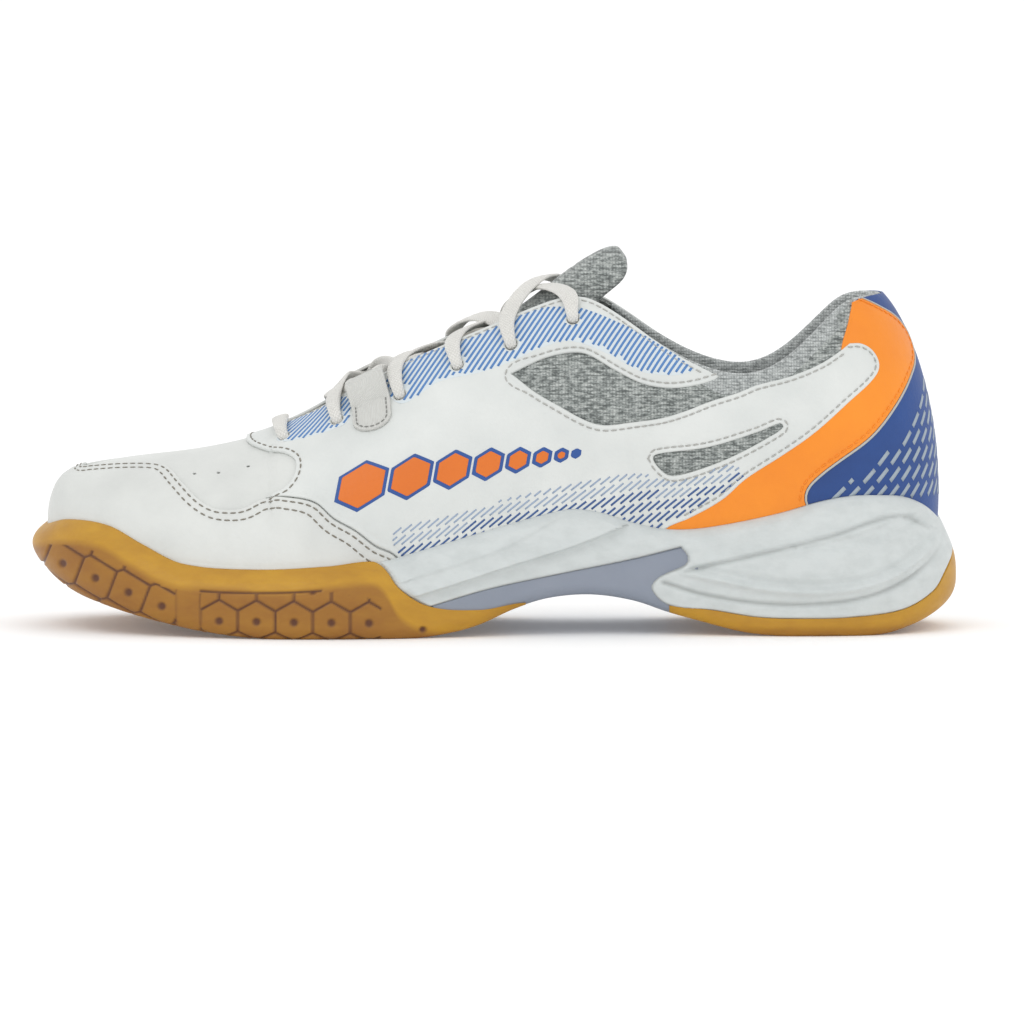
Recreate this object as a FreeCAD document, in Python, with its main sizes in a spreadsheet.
import FreeCAD, Part
import math
import os

# A left court shoe for badminton and other indoor racket sports.
# Row frame in millimetres: the toe points along -X, the lateral (outer) side faces -Y, +Z is up.
# The origin is at the middle of the shoe's length and width, on the floor.

Vector = FreeCAD.Vector
doc = FreeCAD.newDocument("court_shoe")

# ---------------------------------------------------------------- driving dimensions

DIMENSIONS = [
    ("shoe_length", 291.0, "overall length along X"),
    ("ball_width", 106.0, "overall width across the ball"),
    ("tongue_top", 120.4, "height of the tongue above the floor"),
    ("overlay_thick", 1.1, "synthetic leather overlays"),
    ("vamp_thick", 0.9, "vamp leather and mesh base layer"),
    ("stiffener_thick", 0.9, "toe puff and heel counter"),
    ("lining_thick", 0.7, "textile lining"),
    ("glue_gap", 0.15, "glue line between stacked layers"),
    ("shank_thick", 2.5, "moulded shank plate"),
    ("board_thick", 1.5, "stitched lasting board"),
    ("insole_foam", 4.4, "moulded foam of the removable insole"),
    ("insole_cover", 0.7, "fabric cover of the insole"),
    ("cavity_clear", 3.2, "how far the sole's cavity stands outside the feather line"),
    ("tongue_cover", 0.8, "tongue's knitted face and lining"),
    ("tongue_foam", 4.2, "tongue padding"),
    ("flap_height", 108.4, "height where the tongue's free end folds"),
    ("flap_gap", 0.3, "gap at the tongue's fold line"),
    ("lace_radius", 1.2, "round stand-in for the flat lace"),
    ("eyelet_radius", 2.0, "punched lace hole"),
    ("aglet_radius", 1.5, "lace tip"),
    ("aglet_length", 16.0, "lace tip"),
    ("flex_groove_width", 3.0, "flex grooves across the outsole"),
    ("flex_groove_depth", 1.8, "flex grooves across the outsole"),
    ("block_width", 140.0, "width of the blocks that the sole is cut from"),
    ("block_height", 160.0, "height of the blocks that the sole is cut from"),
]

sheet = doc.addObject("Spreadsheet::Sheet", "sizes")
for row, (alias, value, note) in enumerate(DIMENSIONS, start=1):
    sheet.set(f"A{row}", str(value))
    sheet.set(f"B{row}", note)
    sheet.setAlias(f"A{row}", alias)
doc.recompute()


def size(alias):
    """A driving dimension, in millimetres."""
    return float(sheet.get(alias))


# The station tables are drawn for this nominal size and scale with the sheet.
NOMINAL_LENGTH = 291.0
NOMINAL_WIDTH = 106.0
NOMINAL_TONGUE = 120.4
SCALE_X = size("shoe_length") / NOMINAL_LENGTH
SCALE_Y = size("ball_width") / NOMINAL_WIDTH
SCALE_Z = size("tongue_top") / NOMINAL_TONGUE


def point(x, y, z):
    """A point drawn at the nominal size, at the real size."""
    return Vector(x * SCALE_X, y * SCALE_Y, z * SCALE_Z)


# ---------------------------------------------------------------- curves


def spline(values, first=0):
    """Natural cubic through values at the stations first, first + 1, ... as a function."""
    count = len(values)
    bend = [0.0] * count
    work = [0.0] * count
    for i in range(1, count - 1):
        pivot = 0.5 * bend[i - 1] + 2.0
        bend[i] = -0.5 / pivot
        step = values[i + 1] - 2.0 * values[i] + values[i - 1]
        work[i] = (3.0 * step - 0.5 * work[i - 1]) / pivot
    bend[-1] = 0.0
    for i in range(count - 2, -1, -1):
        bend[i] = bend[i] * bend[i + 1] + work[i]

    def at(station):
        t = station - first
        i = min(max(int(math.floor(t)), 0), count - 2)
        b = t - i
        a = 1.0 - b
        curve = (a**3 - a) * bend[i] + (b**3 - b) * bend[i + 1]
        return a * values[i] + b * values[i + 1] + curve / 6.0

    return at


# ---------------------------------------------------------------- the upper's outer surface
#
# Each station has a rib from the feather line, where the upper meets the lasting board, to the
# top line: the ridge over the toes, then the eyestay's edge, then the collar. Station 0 is the
# toe's centre line and the last is the heel's. A rib is a cubic Bezier curve.

STATIONS = [
    # feather x, lateral y, medial y, z | top x, z, middle y | slope, lower and upper handle
    (-139.5, 9.0, 9.0, 27.5, -136.8, 44.5, 9.0, 50, 7, 4),
    (-136.2, -4.5, 22.0, 26.4, -135.0, 46.8, 8.8, 34, 9, 8),
    (-127.0, -18.0, 33.0, 23.4, -129.0, 50.6, 8.2, 16, 15, 15),
    (-112.0, -30.5, 41.0, 18.8, -113.0, 54.1, 6.8, 5, 21, 21),
    (-92.0, -39.5, 45.3, 15.2, -92.0, 56.8, 5.0, 3, 25, 25),
    (-68.0, -45.5, 45.7, 13.8, -67.0, 63.4, 2.8, 4, 28, 26),
    (-43.0, -45.8, 41.0, 14.8, -44.0, 75.8, 1.2, 22, 30, 22),
    (-16.0, -41.0, 33.5, 17.0, -18.0, 89.2, 0.4, 32, 32, 22),
    (8.0, -35.5, 28.5, 19.0, 6.0, 99.4, 0.0, 40, 34, 24),
    (30.0, -32.0, 27.0, 20.5, 26.0, 106.0, 0.0, 46, 36, 26),
    (50.0, -31.0, 28.0, 21.8, 43.0, 98.2, 0.0, 56, 34, 24),
    (67.0, -31.5, 29.5, 22.8, 60.0, 86.8, 0.0, 66, 26, 20),
    (84.0, -33.0, 31.0, 23.5, 77.0, 81.2, 0.0, 70, 24, 18),
    (101.0, -33.5, 31.5, 24.0, 91.0, 86.0, 0.0, 70, 26, 18),
    (117.0, -30.5, 28.5, 24.4, 103.0, 97.0, 0.0, 62, 30, 18),
    (129.0, -23.0, 21.5, 24.6, 112.0, 103.8, 0.0, 52, 33, 16),
    (137.0, -12.0, 11.5, 24.8, 119.5, 105.6, 0.0, 46, 35, 15),
    (139.5, 0.0, 0.0, 24.8, 122.5, 105.8, 0.0, 44, 36, 15),
]
HEEL = len(STATIONS) - 1
GHOSTS = 8  # stations repeated past each centre line, so that the surface crosses it smoothly
THROAT = 5.0  # station where the lacing gap opens
THROAT_ROUND = 0.4  # how bluntly it opens
HALF_GAPS = [12.5, 16.0, 18.0, 20.0, 24.0, 27.5, 29.0, 28.5, 25.5, 20.0, 10.8, 0.0]
RIB_LEAN = math.radians(8)
LATERAL, MEDIAL = -1, 1


def mirrored(values, past):
    """values with ghost stations on both ends, taken from past, the other side's values."""
    return past[GHOSTS:0:-1] + values + past[-2 : -2 - GHOSTS : -1]


def column(index, other=None):
    values = [row[index] for row in STATIONS]
    past = [row[index if other is None else other] for row in STATIONS]
    return spline(mirrored(values, past), -GHOSTS)


FEATHER_X = column(0)
FEATHER_Y = {LATERAL: column(1, 2), MEDIAL: column(2, 1)}
FEATHER_Z = column(3)
TOP_X = column(4)
TOP_Z = column(5)
TOP_MIDDLE = column(6)
TOP_SLOPE = column(7)
LOWER_HANDLE = column(8)
UPPER_HANDLE = column(9)
HALF_GAP = spline(HALF_GAPS + [-10.8, -20.0], THROAT + 1)


def half_gap(s):
    """Half the width of the lacing and collar opening, negative past the heel's centre line."""
    if s <= THROAT:
        return 0.0
    if s < THROAT + 1:
        return HALF_GAPS[0] * (s - THROAT) ** THROAT_ROUND
    return HALF_GAP(s)


def feather(s, side):
    return Vector(FEATHER_X(s), FEATHER_Y[side](s), FEATHER_Z(s))


def rib(s, side):
    """The four Bezier points of the rib at station s."""
    step = 0.01
    along = feather(s + step, side) - feather(s - step, side)
    outward = Vector(along.y, -along.x, 0) * -side
    outward.normalize()
    low = feather(s, side)
    top = Vector(TOP_X(s), TOP_MIDDLE(s) + side * half_gap(s), TOP_Z(s))
    up = Vector(0, 0, 1)
    slope = math.radians(TOP_SLOPE(s))
    lower = low + (outward * math.sin(RIB_LEAN) + up * math.cos(RIB_LEAN)) * LOWER_HANDLE(s)
    upper = top + (outward * math.cos(slope) - up * math.sin(slope)) * UPPER_HANDLE(s)
    return low, lower, upper, top


def surface(s, r, side):
    """The upper's outer surface at station s and share r of the rib, at the nominal size."""
    a, b, c, d = rib(s, side)
    q = 1.0 - r
    return a * q**3 + b * (3 * q * q * r) + c * (3 * q * r * r) + d * r**3


def normal(s, r, side):
    step = 0.01
    r = min(max(r, 0.02), 0.97)
    ahead = 0.0 if THROAT - step < s <= THROAT else step
    behind = 0.0 if THROAT < s < THROAT + step else step
    along = surface(s + ahead, r, side) - surface(s - behind, r, side)
    upward = surface(s, r + step, side) - surface(s, r - step, side)
    out = along.cross(upward) * -side
    out.normalize()
    return out


def on_middle(s, r):
    """Whether the two sides of the upper meet here."""
    return s == 0 or s == HEEL or (r > 0.999 and s <= THROAT)


def skin(s, r, side, depth):
    """A point at depth inside the outer surface. Past the heel's centre line it is on the other side."""
    if s > HEEL:
        s, side = 2 * HEEL - s, -side
    p, out = surface(s, r, side), normal(s, r, side)
    if on_middle(s, r):
        p = (p + surface(s, r, -side)) * 0.5
        out = out + normal(s, r, -side)
        out.normalize()
    p = p - out * depth
    return point(p.x, p.y, p.z)


# ---------------------------------------------------------------- building blocks


SEWING = 1e-3


def knots(count, degree):
    spans = max(1, count - degree)
    inner = [1] * (spans - 1)
    return [i / spans for i in range(spans + 1)], [degree + 1] + inner + [degree + 1]


def face(grid):
    """A B-spline face with the grid's points as its control points."""
    degree_u = min(3, len(grid) - 1)
    degree_v = min(3, len(grid[0]) - 1)
    knots_u, many_u = knots(len(grid), degree_u)
    knots_v, many_v = knots(len(grid[0]), degree_v)
    made = Part.BSplineSurface()
    made.buildFromPolesMultsKnots(
        grid, many_u, many_v, knots_u, knots_v, False, False, degree_u, degree_v
    )
    return made.toShape()


def sewn(faces):
    made = Part.Compound(faces)
    made.sewShape(SEWING)
    solid = Part.Solid(made.Shells[0])
    solid.fix(SEWING, SEWING, 10 * SEWING)
    if solid.Volume < 0:
        solid.reverse()
    return solid


def walls(outer, inner, ends="abcd"):
    """Walls between two grids: a and b at the first and last row, c and d at the columns' ends."""
    pairs = {
        "a": (outer[0], inner[0]),
        "b": (outer[-1], inner[-1]),
        "c": ([row[0] for row in outer], [row[0] for row in inner]),
        "d": ([row[-1] for row in outer], [row[-1] for row in inner]),
    }
    return [face(list(pairs[end])) for end in ends]


def part(label, shape):
    """A sub-part whose free form is set by shape."""
    made = doc.addObject("Part::Feature", label)
    made.Label = label
    made.Shape = shape
    return made


def steps(start, end, count):
    return [start + (end - start) * i / count for i in range(count + 1)]


def grid(limits, count_s, count_r, side, depth):
    """Points over a patch. limits(u, v) gives station and rib share, depth may be a function."""
    rows = []
    for u in steps(0.0, 1.0, count_s):
        line = []
        for v in steps(0.0, 1.0, count_r):
            s, r = limits(u, v)
            deep = depth(s, r) if callable(depth) else depth
            line.append(skin(s, r, side, deep))
        rows.append(line)
    return rows


def patch(limits, count_s, count_r, side, outer_depth, inner_depth):
    """A four-sided piece of the upper, between two depths."""
    outer = grid(limits, count_s, count_r, side, outer_depth)
    inner = grid(limits, count_s, count_r, side, inner_depth)
    return sewn([face(outer), face(inner)] + walls(outer, inner))


FOOT_SHARE = 0.008  # where the upper's edge stands on the lasting board


def toe_shell(end, outer_depth, inner_depth, wing=None, wing_end=None):
    """A piece closed over the toes, from the toe's centre line to station end on both sides.
    With a wing, its top edge leaves the ridge there and runs down to wing_end."""
    faces = []
    for side in (LATERAL, MEDIAL):
        closed = [(lambda u, v: (end * u, FOOT_SHARE + (1 - FOOT_SHARE) * v))]
        if wing:
            closed.append(
                lambda u, v: (
                    end + (wing_end - end) * u,
                    FOOT_SHARE + (wing(end + (wing_end - end) * u) - FOOT_SHARE) * v,
                )
            )
        for index, limits in enumerate(closed):
            count = 14 if index == 0 else 18
            outer = grid(limits, count, 12, side, outer_depth)
            inner = grid(limits, count, 12, side, inner_depth)
            open_ends = "c" if index == 0 else "cd"
            if index == len(closed) - 1:
                open_ends += "b"
            faces += [face(outer), face(inner)] + walls(outer, inner, open_ends)
    return sewn(faces)


# Depths of the layers, from the outer surface inwards.
GAP = size("glue_gap")
OVERLAY_IN = size("overlay_thick")
BASE_OUT = OVERLAY_IN + GAP
BASE_IN = BASE_OUT + size("vamp_thick")
STIFF_OUT = BASE_IN + GAP
STIFF_IN = STIFF_OUT + size("stiffener_thick")
LINING_OUT = STIFF_IN + GAP
LINING_IN = LINING_OUT + size("lining_thick")

# ---------------------------------------------------------------- upper: front pieces

CAP_END = 1.9  # station where the toe cap's edge leaves the ridge
CAP_WING_END = 6.3
CAP_EDGE = spline([1.0, 0.81, 0.565, 0.50, 0.47, 0.36, 0.10])
CAP_SEAM = 0.012


def cap_edge(s):
    """Rib share of the toe cap's stitched edge."""
    return CAP_EDGE((s - CAP_END) / (CAP_WING_END - CAP_END) * 6)


toe_cap = part("toe_cap", toe_shell(CAP_END, 0.0, OVERLAY_IN, cap_edge, CAP_WING_END))
vamp = part("vamp", toe_shell(THROAT, BASE_OUT, BASE_IN))
toe_puff = part("toe_puff", toe_shell(2.6, STIFF_OUT, STIFF_IN))
vamp_lining = part("vamp_lining", toe_shell(THROAT, LINING_OUT, LINING_IN))

# ---------------------------------------------------------------- upper: quarters and heel

QUARTER_FRONT = 4.75
SEAM = 0.02  # gap between neighbouring pieces, in stations
BAND_FRONT = spline([9.9, 11.2, 12.7, 14.3, 14.85])
BAND_BACK = spline([13.3, 13.5, 14.6, 15.7, 15.55])
COLLAR_FRONT = 9.6
STAY_START, STAY_END = 5.03, 9.35
STAY_LOW, STAY_HIGH = 0.74, 0.99
COUNTER_FRONT = 12.3
COUNTER_TOP = 0.60
PAD_LOW = 0.63
PAD_THICK = 6.2
PAD_BASE = 0.9


def quarter_limits(u, v):
    share = v * 4
    s = QUARTER_FRONT + (BAND_FRONT(share) - SEAM - QUARTER_FRONT) * u
    low = cap_edge(s) + CAP_SEAM if s < CAP_WING_END else FOOT_SHARE
    if CAP_WING_END <= s < CAP_WING_END + 0.6:
        low = max(FOOT_SHARE, 0.10 + CAP_SEAM - 0.14 * (s - CAP_WING_END))
    high = 0.996 if s < THROAT else 1.0
    return s, low + (high - low) * v


def band_limits(u, v):
    start, end = BAND_FRONT(v * 4), BAND_BACK(v * 4) - SEAM
    return start + (end - start) * u, FOOT_SHARE + (1 - FOOT_SHARE) * v


def heel_limits(u, v):
    start = BAND_BACK(v * 4)
    return start + (2 * HEEL - 2 * start) * u, FOOT_SHARE + (1 - FOOT_SHARE) * v


def base_limits(u, v):
    s = THROAT + SEAM + (HEEL - SEAM - THROAT) * u
    return s, FOOT_SHARE + (1 - FOOT_SHARE) * v


def stay_limits(u, v):
    return STAY_START + (STAY_END - STAY_START) * u, STAY_LOW + (STAY_HIGH - STAY_LOW) * v


def counter_limits(u, v):
    start = COUNTER_FRONT
    return start + (2 * HEEL - 2 * start) * u, 0.05 + (COUNTER_TOP - 0.05) * v


def pad_limits(u, v):
    start = COLLAR_FRONT
    return start + (2 * HEEL - 2 * start) * u, PAD_LOW + (1 - PAD_LOW) * v


def pad_depth(s, r):
    """Inner face of the collar padding: it swells below the top line and thins at its ends."""
    station = min(s, 2 * HEEL - s)
    along = min(1.0, max(0.0, (station - COLLAR_FRONT) / 2.0))
    across = math.sin(math.pi * min(1.0, max(0.0, (r - PAD_LOW) / 0.50))) ** 0.8
    return STIFF_OUT + PAD_BASE + (PAD_THICK - PAD_BASE) * across * math.sin(along * math.pi / 2)


def lining_outer(s, r):
    return pad_depth(s, r) + GAP if r > PAD_LOW else LINING_OUT


def lining_inner(s, r):
    return lining_outer(s, r) + size("lining_thick")


def cutter(label, pairs, side):
    """A prism through one side of the upper, over a closed outline of (x, z) points."""
    outline = [Vector(x * SCALE_X, 0, z * SCALE_Z) for x, z in pairs]
    wire = part(label + "_outline", Part.makePolygon(outline + [outline[0]]))
    prism = doc.addObject("Part::Extrusion", label)
    prism.Base = wire
    prism.DirMode = "Custom"
    prism.Dir = Vector(0, side, 0)
    prism.Solid = True
    prism.setExpression("LengthFwd", "sizes.block_width")
    return prism


def boolean(kind, label, base, tool):
    made = doc.addObject(kind, label)
    made.Label = label
    made.Base = base
    made.Tool = tool
    return made


COLLAR_NOTCH = [
    (5.9, 81.0), (14.9, 85.4), (23.9, 87.9), (29.5, 87.1), (37.9, 82.6), (46.3, 78.1),
    (54.6, 76.6), (62.8, 77.2), (69.7, 79.5), (72.0, 95.0), (104.0, 112.0), (113.0, 104.0),
    (110.9, 94.0), (102.6, 84.2), (94.0, 80.5), (82.7, 78.3), (68.4, 73.3), (51.8, 67.1),
    (35.1, 65.0), (21.1, 70.5), (12.9, 75.5),
]
REAR_WINDOW = [
    (50.0, 54.8), (52.0, 55.9), (68.4, 58.4), (82.7, 63.0), (90.0, 65.3), (90.6, 64.5),
    (86.1, 61.2), (75.6, 55.6), (64.7, 51.2), (56.9, 49.0), (54.1, 50.3),
]

SIDES = {"lateral": LATERAL, "medial": MEDIAL}
quarters, bases, linings = {}, {}, {}
for name, side in SIDES.items():
    whole = part(f"quarter_whole_{name}", patch(quarter_limits, 44, 14, side, 0.0, OVERLAY_IN))
    notch = cutter(f"collar_notch_{name}", COLLAR_NOTCH, side)
    window = cutter(f"rear_window_{name}", REAR_WINDOW, side)
    notched = boolean("Part::Cut", f"quarter_notched_{name}", whole, notch)
    quarters[name] = boolean("Part::Cut", f"quarter_windowed_{name}", notched, window)
    bases[name] = part(f"base_whole_{name}", patch(base_limits, 46, 14, side, BASE_OUT, BASE_IN))
    linings[name] = part(
        f"lining_whole_{name}", patch(base_limits, 46, 22, side, lining_outer, lining_inner)
    )
    part(f"heel_band_{name}", patch(band_limits, 10, 16, side, 0.0, OVERLAY_IN))

heel_cap = part("heel_cap", patch(heel_limits, 18, 16, LATERAL, 0.0, OVERLAY_IN))
heel_counter = part("heel_counter", patch(counter_limits, 24, 10, LATERAL, STIFF_OUT, STIFF_IN))
collar_padding = part("collar_padding", patch(pad_limits, 40, 14, LATERAL, STIFF_OUT, pad_depth))

# ---------------------------------------------------------------- eyelets

EYELETS = [(-65.3, 60.9), (-48.5, 66.5), (-28.9, 74.5), (-10.9, 83.8), (5.9, 90.3), (25.2, 98.4)]
LAST = len(EYELETS) - 1
LOOP_AFTER = 1  # the webbing loop comes between this eyelet and the next
EYELET_REACH = 8.0


def locate(x, z, side, s=7.0, r=0.9):
    """Station and rib share of the surface point at x and z, by Newton's method."""
    step = 1e-3
    for _ in range(12):
        p = surface(s, r, side)
        ds = (surface(s + step, r, side) - p) * (1 / step)
        dr = (surface(s, r + step, side) - p) * (1 / step)
        miss_x, miss_z = x - p.x, z - p.z
        scale = ds.x * dr.z - ds.z * dr.x
        s += (miss_x * dr.z - miss_z * dr.x) / scale
        r += (ds.x * miss_z - ds.z * miss_x) / scale
        s, r = max(s, THROAT + 0.01), min(r, 0.98)
    return s, r


def eyelet(index, side):
    """Station and rib share of a lace hole."""
    x, z = EYELETS[index]
    return locate(x, z, side, THROAT + 0.5 + 0.7 * index)


for name, side in SIDES.items():
    drills = []
    for index in range(len(EYELETS)):
        s, r = eyelet(index, side)
        out = normal(s, r, side)
        drill = doc.addObject("Part::Cylinder", f"eyelet_drill_{name}_{index + 1}")
        drill.setExpression("Radius", "sizes.eyelet_radius")
        drill.Height = 2 * EYELET_REACH
        start = skin(s, r, side, EYELET_REACH)
        drill.Placement = FreeCAD.Placement(start, FreeCAD.Rotation(Vector(0, 0, 1), out))
        drills.append(drill)
    holes = doc.addObject("Part::Compound", f"eyelet_drills_{name}")
    holes.Links = drills
    stay = part(
        f"eyestay_whole_{name}", patch(stay_limits, 24, 5, side, STIFF_OUT, STIFF_IN)
    )
    boolean("Part::Cut", f"quarter_{name}", quarters[name], holes)
    boolean("Part::Cut", f"mesh_base_{name}", bases[name], holes)
    boolean("Part::Cut", f"quarter_lining_{name}", linings[name], holes)
    boolean("Part::Cut", f"eyestay_tape_{name}", stay, holes)

# ---------------------------------------------------------------- webbing lace loops

LOOP_X, LOOP_Z = -38.3, 76.0
LOOP_HALF_WIDTH = 0.13
LOOP_LOW, LOOP_HIGH = 0.66, 0.965
LOOP_THICK = 1.0
LOOP_RISE = 3.9
LOOP_BEND = 0.115  # half the height of the bend round the lace, as a share of the rib


def loop_rise(r, centre):
    """How far the webbing stands off the upper, where it goes round the lace."""
    away = min(1.0, abs(r - centre) / LOOP_BEND)
    return LOOP_RISE * math.cos(away * math.pi / 2) ** 0.6


loop_places = {}
for name, side in SIDES.items():
    loop_s, loop_r = locate(LOOP_X, LOOP_Z, side)
    loop_places[side] = (loop_s, loop_r)

    def loop_limits(u, v, s=loop_s):
        return s + LOOP_HALF_WIDTH * (2 * u - 1), LOOP_LOW + (LOOP_HIGH - LOOP_LOW) * v

    def loop_inner(s, r, centre=loop_r):
        return -GAP - loop_rise(r, centre)

    def loop_outer(s, r, centre=loop_r):
        return -GAP - LOOP_THICK - loop_rise(r, centre)

    part(f"lace_loop_{name}", patch(loop_limits, 4, 24, side, loop_outer, loop_inner))

# ---------------------------------------------------------------- tongue

TONGUE = [
    # middle x, z | radius of the arc | half its length | lean of the section, degrees
    (-76.0, 51.0, 38.0, 19.0, 0),
    (-60.0, 57.3, 30.0, 23.0, 6),
    (-40.0, 70.2, 24.0, 26.0, 14),
    (-20.0, 82.8, 21.0, 28.5, 22),
    (0.0, 94.7, 19.5, 29.5, 28),
    (16.0, 106.2, 17.8, 24.5, 32),
    (27.0, 114.4, 17.4, 21.5, 34),
    (37.0, 120.0, 17.4, 19.0, 34),
]
TONGUE_X, TONGUE_Z, TONGUE_RADIUS, TONGUE_HALF, TONGUE_LEAN = (
    spline([row[i] for row in TONGUE]) for i in range(5)
)
TONGUE_END = len(TONGUE) - 1
COVER, FOAM = size("tongue_cover"), size("tongue_foam")
TONGUE_LAYERS = {
    "mesh": (0.0, COVER),
    "foam": (COVER + GAP, COVER + GAP + FOAM),
    "lining": (COVER + FOAM + 2 * GAP, 2 * COVER + FOAM + 2 * GAP),
}


def tongue(t, w, depth):
    """A point of the tongue: t along it, w from -1 to 1 across it."""
    radius = TONGUE_RADIUS(t)
    turn = w * TONGUE_HALF(t) / radius
    lean = math.radians(TONGUE_LEAN(t))
    reach = radius - (radius - depth) * math.cos(turn)
    x = TONGUE_X(t) + math.sin(lean) * reach
    z = TONGUE_Z(t) - math.cos(lean) * reach
    return point(x, (radius - depth) * math.sin(turn), z)


def tongue_piece(start, end, layer):
    outer_depth, inner_depth = TONGUE_LAYERS[layer]
    outer, inner = (
        [[tongue(t, w, depth) for w in steps(-1, 1, 16)] for t in steps(start, end, 14)]
        for depth in (outer_depth, inner_depth)
    )
    return sewn([face(outer), face(inner)] + walls(outer, inner))


def tongue_at(height):
    """Position along the tongue where its middle is at height."""
    low, high = 0.0, float(TONGUE_END)
    for _ in range(40):
        middle = (low + high) / 2
        low, high = (middle, high) if TONGUE_Z(middle) < height else (low, middle)
    return low


FOLD = tongue_at(size("flap_height") / SCALE_Z)
ROW_SPACING = 14.0  # millimetres along the tongue between two rows near the fold
FOLD_GAP = size("flap_gap") / ROW_SPACING
for layer in TONGUE_LAYERS:
    part(f"tongue_{layer}", tongue_piece(0.0, FOLD - FOLD_GAP / 2, layer))
    part(f"tongue_flap_{layer}", tongue_piece(FOLD + FOLD_GAP / 2, TONGUE_END, layer))

# ---------------------------------------------------------------- lace
#
# One lace: a straight bar across the lowest pair of holes, then two strands that come up through
# each hole, cross the tongue and pass under the other side's eyestay. The second pair of crossings
# turns back in the webbing loops. The ends go down through the top holes and hang inside.

LACE = size("lace_radius")
LACE_LIFT = 1.8  # height of the lace's middle over the upper
HOLE_LIFT = 2.8  # and where it bends over a hole
LACE_SINK = LINING_IN + 1.8  # depth of the lace's middle under the eyestay
EDGE = 0.995  # rib share of the eyestay's edge
CROSSING = 1.5  # half the distance between crossing strands
HOLE_BEND = 1.5  # radius of the lace's bend at a hole
EDGE_BEND = 2.0  # and round the eyestay's edge
LACE_CLEAR = 0.9  # between the lace and the tongue
TAIL = [(34.0, 22.0, 84.0), (46.0, 22.5, 68.0), (62.0, 23.0, 53.0), (80.0, 23.0, 42.0)]
TAIL_END = (93.0, 21.5, 37.5)


def at_edge(index, side, depth):
    """Lace point beside the eyestay's edge, at hole index."""
    s, r = eyelet(index, side)
    return skin(s, EDGE, side, depth)


def at_hole(index, side, depth):
    s, r = eyelet(index, side)
    return skin(s, r, side, depth)


def tongue_height(x):
    """Height of the tongue's middle at x."""
    low, high = 0.0, float(TONGUE_END)
    for _ in range(40):
        middle = (low + high) / 2
        low, high = (middle, high) if TONGUE_X(middle) < x else (low, middle)
    return TONGUE_Z(low)


def crossing(a, b, lift):
    """Lace point over the middle of the tongue, with room for the other strand."""
    middle = (a + b) * 0.5
    lowest = tongue_height(middle.x / SCALE_X) * SCALE_Z + LACE + LACE_CLEAR + CROSSING
    return Vector(middle.x, middle.y, max(middle.z, lowest) + lift)


def loop_turn(side):
    """The lace's turn round the inside of a webbing loop."""
    s, r = loop_places[side]
    spread, back = 0.17, 0.06
    return [
        skin(s - spread, r + back, side, -LACE_LIFT - 0.3),
        skin(s, r - 0.01, side, -LACE_LIFT - 0.3),
        skin(s + spread, r + back, side, -LACE_LIFT - 0.3),
    ]


def strand(side):
    """Lace points from beside the bar to the tail, each with its bend radius or None."""
    lift = CROSSING * side
    near, far = side, -side
    route = [(at_hole(0, near, -HOLE_LIFT), HOLE_BEND), (at_hole(0, near, LACE_SINK), HOLE_BEND)]
    here = at_edge(0, near, LACE_SINK)
    sides = [near, far, far, near, far, near]
    for index in range(1, len(EYELETS)):
        landing = sides[index]
        top = index == LAST
        there = at_edge(index, landing, -LACE_LIFT if top else LACE_SINK)
        route += [(here, EDGE_BEND), (crossing(here, there, lift), None), (there, EDGE_BEND)]
        holes = [-HOLE_LIFT, LACE_SINK] if top else [LACE_SINK, -HOLE_LIFT]
        route += [(at_hole(index, landing, depth), HOLE_BEND) for depth in holes]
        if top:
            break
        here = at_edge(index, landing, -LACE_LIFT)
        if index == LOOP_AFTER:
            turn = loop_turn(near)
            route += [(here, EDGE_BEND), (crossing(here, turn[0], lift), None)]
            route += [(turn[0], None), (turn[1], None)]
            here = turn[2]
    route += [(point(x, side * y, z), None) for x, y, z in TAIL]
    return route


def rounded(points, radii):
    """A wire of straight runs joined by tangent arcs."""
    edges, start, bends = [], points[0], []
    for before, corner, after, radius in zip(points, points[1:], points[2:], radii[1:]):
        into, out = corner - before, after - corner
        run = min(into.Length, out.Length)
        into.normalize()
        out.normalize()
        half = into.getAngle(out) / 2
        largest = 0.45 * run / math.tan(half)
        radius = min(radius or largest, largest)
        reach = radius * math.tan(half)
        bisector = out - into
        bisector.normalize()
        middle = corner + bisector * (radius / math.cos(half) - radius)
        edges.append(Part.LineSegment(start, corner - into * reach).toShape())
        edges.append(Part.Arc(corner - into * reach, middle, corner + out * reach).toShape())
        start = corner + out * reach
        bends.append(radius)
    edges.append(Part.LineSegment(start, points[-1]).toShape())
    return Part.Wire(edges), bends


def tube(wire, radius):
    start = wire.Edges[0].Vertexes[0].Point
    heading = wire.Edges[0].tangentAt(wire.Edges[0].FirstParameter)
    ring = Part.Wire(Part.makeCircle(radius, start, heading))
    return wire.makePipeShell([ring], True, True)


def aglet_start(side):
    x, y, z = TAIL_END
    return point(x, side * y, z)


def lace_wire():
    first, second = strand(LATERAL), strand(MEDIAL)
    start, end = aglet_start(LATERAL), aglet_start(MEDIAL)
    bar = crossing(first[0][0], second[0][0], 0.0)
    bar.z = max(bar.z, TOP_Z(THROAT) * SCALE_Z + LACE + LACE_CLEAR)
    route = [(start, None)] + first[::-1] + [(bar, None)] + second + [(end, None)]
    return rounded([p for p, radius in route], [radius for p, radius in route])


lace_path, lace_bends = lace_wire()
lace = part("lace", tube(lace_path, LACE))
print("lace length", round(lace_path.Length, 1), "volume / (section x length)",
      round(lace.Shape.Volume / (math.pi * LACE**2 * lace_path.Length), 4),
      "tightest bends", [round(b, 2) for b in sorted(lace_bends)[:6]])

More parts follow.
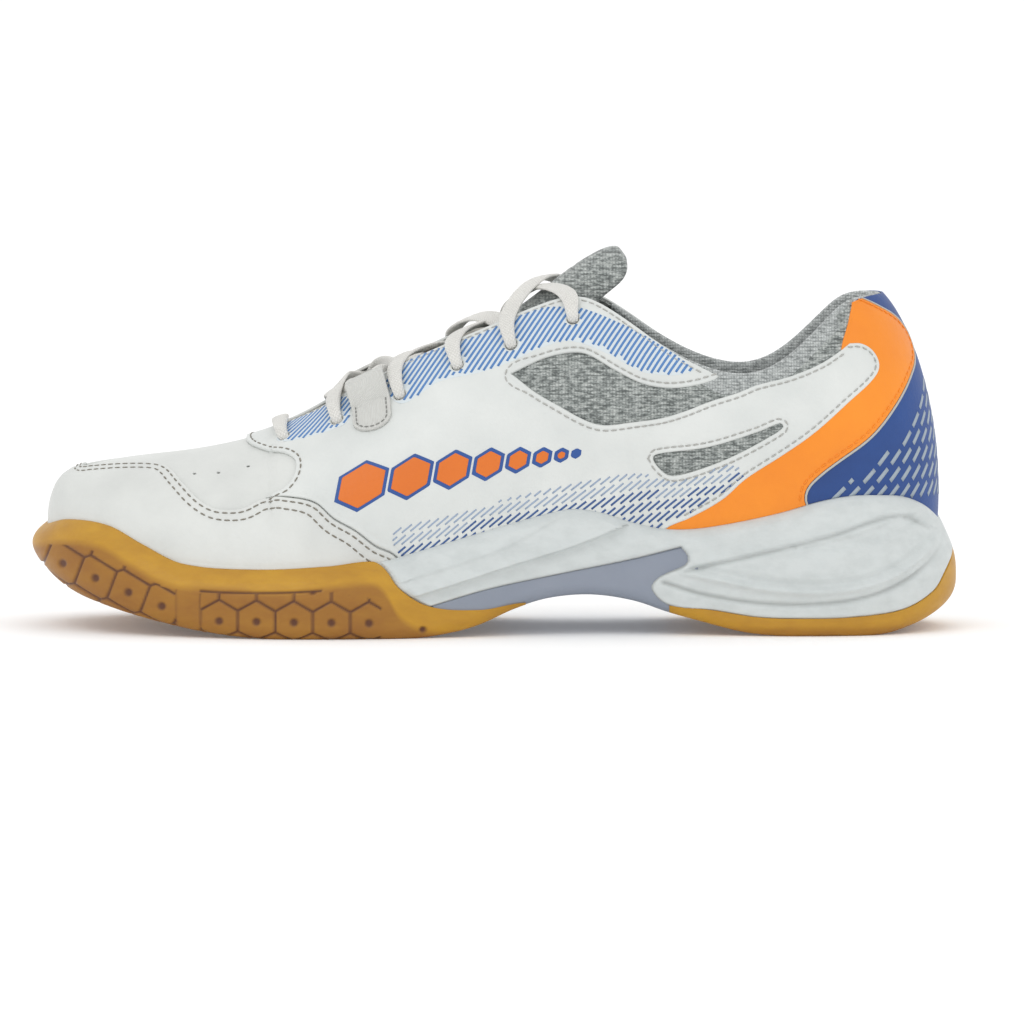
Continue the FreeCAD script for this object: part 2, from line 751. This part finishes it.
for name, side in SIDES.items():
    aglet = doc.addObject("Part::Cylinder", f"aglet_{name}")
    aglet.setExpression("Radius", "sizes.aglet_radius")
    aglet.setExpression("Height", "sizes.aglet_length")
    x, y, z = TAIL[-1]
    heading = aglet_start(side) - point(x, side * y, z)
    turn = FreeCAD.Rotation(Vector(0, 0, 1), heading)
    aglet.Placement = FreeCAD.Placement(aglet_start(side), turn)

# ---------------------------------------------------------------- sole outlines
#
# The sole's pieces are cut from upright blocks over a plan outline by blocks across the shoe
# over a side outline.


def along(points):
    """One edge through the points: straight for two, otherwise a smooth curve."""
    if len(points) == 2:
        return Part.LineSegment(points[0], points[1])
    curve = Part.BSplineCurve()
    curve.interpolate(points)
    return curve


def plane(body, role):
    return next(item for item in body.Origin.OriginFeatures if item.Role == role)


def block(label, role, edges, length_alias):
    """A PartDesign body: one sketch on an origin plane, padded both ways."""
    body = doc.addObject("PartDesign::Body", label)
    drawing = body.newObject("Sketcher::SketchObject", label + "_sketch")
    drawing.AttachmentSupport = [(plane(body, role), "")]
    drawing.MapMode = "FlatFace"
    for edge in edges:
        drawing.addGeometry(edge, False)
    pad = body.newObject("PartDesign::Pad", label + "_pad")
    pad.Profile = drawing
    pad.Midplane = True
    pad.setExpression("Length", f"sizes.{length_alias} * 2")
    return body


def plan_block(label, outline):
    """An upright block over a closed smooth outline of (x, y) points."""
    curve = Part.BSplineCurve()
    curve.interpolate([point(x, y, 0) for x, y in outline], PeriodicFlag=True)
    return block(label, "XY_Plane", [curve], "block_height")


def side_block(label, runs):
    """A block across the shoe over a side outline, whose runs of (x, z) points follow on."""
    edges = [along([Vector(x * SCALE_X, z * SCALE_Z, 0) for x, z in run]) for run in runs]
    return block(label, "XZ_Plane", edges, "block_width")


def widened(outline, distance):
    """A closed outline moved outwards by distance. It runs from the toe along the lateral side."""
    moved = []
    count = len(outline)
    for i, (x, y) in enumerate(outline):
        before, after = outline[i - 1], outline[(i + 1) % count]
        heading = Vector(after[0] - before[0], after[1] - before[1], 0)
        heading.normalize()
        moved.append((x + heading.y * distance, y - heading.x * distance))
    return moved


def shifted(pairs, rise):
    return [(x, z + rise) for x, z in pairs]


SOLE_PLAN = [
    (-145.5, 9.0), (-143.0, -2.0), (-135.0, -18.0), (-120.0, -32.0), (-100.0, -43.5),
    (-80.0, -50.5), (-60.0, -53.0), (-40.0, -52.5), (-15.0, -47.5), (10.0, -40.5),
    (35.0, -37.0), (60.0, -38.5), (90.0, -41.5), (115.0, -41.0), (132.0, -32.0),
    (142.0, -17.0), (145.5, 0.0), (142.0, 15.5), (132.0, 30.0), (115.0, 38.0), (90.0, 38.5),
    (60.0, 34.5), (35.0, 31.0), (10.0, 31.5), (-15.0, 37.0), (-40.0, 46.0), (-60.0, 51.0),
    (-80.0, 53.0), (-100.0, 49.5), (-120.0, 43.0), (-135.0, 33.0), (-143.0, 22.0),
]
FEATHER_PLAN = [(row[0], row[1]) for row in STATIONS]
FEATHER_PLAN += [(row[0], row[2]) for row in STATIONS[-2:0:-1]]
FEATHER_SIDE = [(row[0], row[3]) for row in STATIONS]
INSOLE_INSET = 5.2

# The sole's underside from the toe to the heel, in runs.
TOE_SPRING = [
    (-146.0, 31.5), (-145.0, 26.0), (-138.7, 19.4), (-131.2, 12.9), (-120.0, 8.6), (-105.0, 4.8),
    (-88.0, 1.6), (-70.0, 0.0),
]
FOREFOOT_REST = [(-70.0, 0.0), (-24.0, 0.0)]
ARCH_FRONT = [(-24.0, 0.0), (-12.0, 1.6), (-3.7, 3.9), (7.2, 8.6)]
ARCH = [(7.2, 8.6), (18.0, 11.7), (31.0, 12.6), (44.0, 10.7), (55.0, 7.1)]
ARCH_BACK = [(55.0, 7.1), (66.5, 4.0), (78.0, 1.2), (90.0, 0.0)]
HEEL_REST = [(90.0, 0.0), (120.0, 0.0)]
HEEL_BACK = [(120.0, 0.0), (128.0, 1.6), (137.5, 5.8), (143.0, 12.5), (146.0, 26.0)]

CUP_REAR_LOW = [(7.2, 10.4), (-3.7, 8.4), (-19.3, 9.8)]
CUP_REAR_HIGH = [(-19.3, 9.8), (-28.6, 15.1), (-33.9, 23.8)]
CUP_TOP = [
    (-33.9, 23.8), (-50.4, 22.5), (-75.3, 21.3), (-98.6, 22.6), (-112.6, 28.3), (-125.0, 33.6),
    (-138.0, 34.4), (-146.0, 31.5),
]
HEEL_TREAD_TOP = [
    (146.0, 26.0), (142.0, 18.5), (138.3, 12.9), (129.0, 8.0), (114.8, 6.1), (100.4, 5.6),
    (82.7, 6.0), (68.4, 8.1), (55.0, 9.4),
]
SHANK_TOP = [(-19.3, 9.8), (-1.6, 14.8), (20.7, 19.2), (42.9, 23.6), (58.8, 27.5)]
SHANK_BACK = [(58.8, 27.5), (61.9, 22.9), (51.9, 18.2), (49.5, 14.0), (55.0, 9.4)]
BITE_LINE = [
    (146.0, 29.0), (144.0, 35.0), (139.6, 40.0), (132.5, 42.6), (119.0, 43.6), (104.2, 42.1),
    (89.9, 38.4), (71.8, 34.7), (61.3, 33.4), (52.2, 33.7), (42.9, 35.9), (34.5, 38.7),
    (25.2, 40.0), (15.2, 38.1), (-1.6, 33.1), (-22.0, 26.9), (-33.9, 23.8),
]
CEILING = 150.0


def open_top(low):
    """A side outline from the curve low, which runs from toe to heel, up to the ceiling."""
    (x0, z0), (x1, z1) = low[0], low[-1]
    return [low, [(x1, z1), (x1, CEILING)], [(x1, CEILING), (x0, CEILING)], [(x0, CEILING), (x0, z0)]]


def strip(low, high):
    """A side outline between two curves that run from toe to heel."""
    return [low, [low[-1], high[-1]], high[::-1], [high[0], low[0]]]


def common(label, *shapes):
    made = doc.addObject("Part::MultiCommon", label)
    made.Shapes = list(shapes)
    return made


def fuse(label, *shapes):
    made = doc.addObject("Part::MultiFuse", label)
    made.Shapes = list(shapes)
    return made


sole_block = plan_block("sole_block", SOLE_PLAN)
cavity_block = plan_block("cavity_block", widened(FEATHER_PLAN, size("cavity_clear")))
shank_core = plan_block("shank_core", widened(SOLE_PLAN, -size("shank_thick")))
BOARD_LOW = shifted([(-144.0, 29.0)] + FEATHER_SIDE + [(144.0, 24.8)], -size("board_thick"))
BOARD_TOP = shifted(BOARD_LOW, size("board_thick"))
above_board = side_block("above_board", open_top(BOARD_LOW))

# ---------------------------------------------------------------- outsole, shank and midsole

FLOOR_TOP = [
    (-146.0, 37.0), (-140.0, 26.5), (-131.2, 18.5), (-120.0, 13.4), (-105.0, 9.4), (-88.0, 6.2),
    (-70.0, 4.5), (-50.0, 4.5), (-30.0, 4.5), (-16.0, 6.0), (-3.7, 8.4), (10.0, 13.0),
]
cup_side = side_block("cup_side", [
    TOE_SPRING, FOREFOOT_REST, ARCH_FRONT, [ARCH_FRONT[-1], CUP_REAR_LOW[0]], CUP_REAR_LOW,
    CUP_REAR_HIGH, CUP_TOP,
])
above_floor = side_block("above_floor", open_top(FLOOR_TOP))
cup_block = common("cup_block", sole_block, cup_side)
cup_hollow = common("cup_hollow", cavity_block, above_floor)
cup = boolean("Part::Cut", "cup", cup_block, cup_hollow)

BED_DEEP = 18.0  # the bed's block reaches above the board, whose room is then cut from it
FLEX_GROOVES = [-96.0, -80.0, -64.0, -48.0]
TOE_RISE = 0.12  # slope of the underside ahead of the forefoot's flat
grooves = []
for number, x in enumerate(FLEX_GROOVES, start=1):
    groove = doc.addObject("Part::Box", f"flex_groove_{number}")
    groove.setExpression("Length", "sizes.flex_groove_width")
    groove.setExpression("Width", "sizes.block_width")
    groove.setExpression("Height", "sizes.flex_groove_depth * 2")
    z = max(0.0, (-70.0 - x) * TOE_RISE) - size("flex_groove_depth")
    corner = Vector(x * SCALE_X, -size("block_width") / 2, z)
    groove.Placement = FreeCAD.Placement(corner, FreeCAD.Rotation())
    grooves.append(groove)
all_grooves = doc.addObject("Part::Compound", "flex_grooves")
all_grooves.Links = grooves
outsole_forefoot = boolean("Part::Cut", "outsole_forefoot", cup, all_grooves)

heel_tread_side = side_block("heel_tread_side", [
    ARCH_BACK, HEEL_REST, HEEL_BACK, HEEL_TREAD_TOP, [HEEL_TREAD_TOP[-1], ARCH_BACK[0]],
])
outsole_heel = common("outsole_heel", sole_block, heel_tread_side)

shank_side = side_block("shank_side", [
    ARCH, [ARCH[-1], SHANK_BACK[-1]], SHANK_BACK[::-1], SHANK_TOP[::-1], CUP_REAR_LOW[::-1],
    [CUP_REAR_LOW[0], ARCH[0]],
])
ARCH_FLOOR = shifted([(-18.0, 9.2), (-3.7, 8.4)] + ARCH + [(64.0, 8.0)], size("shank_thick"))
above_arch = side_block("above_arch", open_top(ARCH_FLOOR))
shank_block = common("shank_block", sole_block, shank_side)
shank_hollow = common("shank_hollow", shank_core, above_arch)
shank_plate = boolean("Part::Cut", "shank_plate", shank_block, shank_hollow)

# The midsole is the foam that shows outside, the bed inside the cup and the core inside the shank,
# joined, less the room for the foot.
midsole_side = side_block("midsole_side", [
    CUP_REAR_HIGH[::-1], SHANK_TOP, SHANK_BACK, HEEL_TREAD_TOP[::-1],
    [HEEL_TREAD_TOP[0], BITE_LINE[0]], BITE_LINE,
])
midsole_shell = common("midsole_shell", sole_block, midsole_side)
bed_plan = plan_block("midsole_bed_plan", widened(FEATHER_PLAN, size("cavity_clear") - GAP))
BED_LOW = shifted([(x, z) for x, z in FLOOR_TOP if x < -20.0] + [(-19.5, 5.8)], GAP)
bed_side = side_block("midsole_bed_side", strip(BED_LOW, shifted(BED_LOW, BED_DEEP)))
midsole_bed = common("midsole_bed", bed_plan, bed_side)
core_plan = plan_block("midsole_core_plan", widened(SOLE_PLAN, -size("shank_thick") - GAP))
CORE_LOW = shifted(ARCH_FLOOR, GAP)
CORE_TOP = [(-18.0, 12.5), (20.7, 22.2), (42.9, 26.6), (64.0, 29.5)]
core_side = side_block("midsole_core_side", strip(CORE_LOW, CORE_TOP))
midsole_core = common("midsole_core", core_plan, core_side)
midsole_whole = fuse("midsole_whole", midsole_shell, midsole_bed, midsole_core)
foot_hollow = common("foot_hollow", cavity_block, above_board)
midsole = boolean("Part::Cut", "midsole", midsole_whole, foot_hollow)

# ---------------------------------------------------------------- lasting board and insole


def bed_layer(label, outline, low, rise, thickness):
    """A layer that follows the foot bed, rise above the curve low."""
    bottom = shifted(low, rise)
    layer_side = side_block(label + "_side", strip(bottom, shifted(bottom, thickness)))
    return common(label, plan_block(label + "_plan", outline), layer_side)


INSOLE_PLAN = widened(FEATHER_PLAN, -INSOLE_INSET)
board = size("board_thick")
bed_layer("lasting_board", FEATHER_PLAN, BOARD_LOW, 0.0, board)
bed_layer("insole_foam", INSOLE_PLAN, BOARD_TOP, 0.0, size("insole_foam"))
bed_layer("insole_cover", INSOLE_PLAN, BOARD_TOP, size("insole_foam"), size("insole_cover"))

# ---------------------------------------------------------------- check and write

PAIRED = ["quarter", "mesh_base", "quarter_lining", "eyestay_tape", "heel_band", "lace_loop", "aglet"]
NODES = [
    "outsole_forefoot", "outsole_heel", "shank_plate", "midsole", "lasting_board", "insole_foam",
    "insole_cover", "vamp", "toe_cap", "toe_puff", "vamp_lining", "heel_counter", "collar_padding",
    "heel_cap", "lace",
]
NODES += [f"{name}_{side}" for name in PAIRED for side in SIDES]
NODES += [f"tongue_{layer}" for layer in TONGUE_LAYERS]
NODES += [f"tongue_flap_{layer}" for layer in TONGUE_LAYERS]


def check(item):
    """Stop if an object failed to build."""
    bad = [state for state in item.State if state in ("Invalid", "Error")]
    if bad:
        raise RuntimeError(f"{item.Label}: {bad}")


doc.recompute()
for item in doc.Objects:
    check(item)
os.makedirs("parts", exist_ok=True)
for label in NODES:
    shape = doc.getObjectsByLabel(label)[0].Shape
    if shape.isNull() or not shape.isValid() or not shape.Solids:
        raise RuntimeError(f"{label}: no valid solid")
    shape.exportStep(f"parts/{label}.step")
    box = shape.BoundBox
    print(f"{label:24s} {len(shape.Solids)} solid {shape.Volume:9.1f} mm3",
          [round(v, 1) for v in (box.XMin, box.XMax, box.YMin, box.YMax, box.ZMin, box.ZMax)])
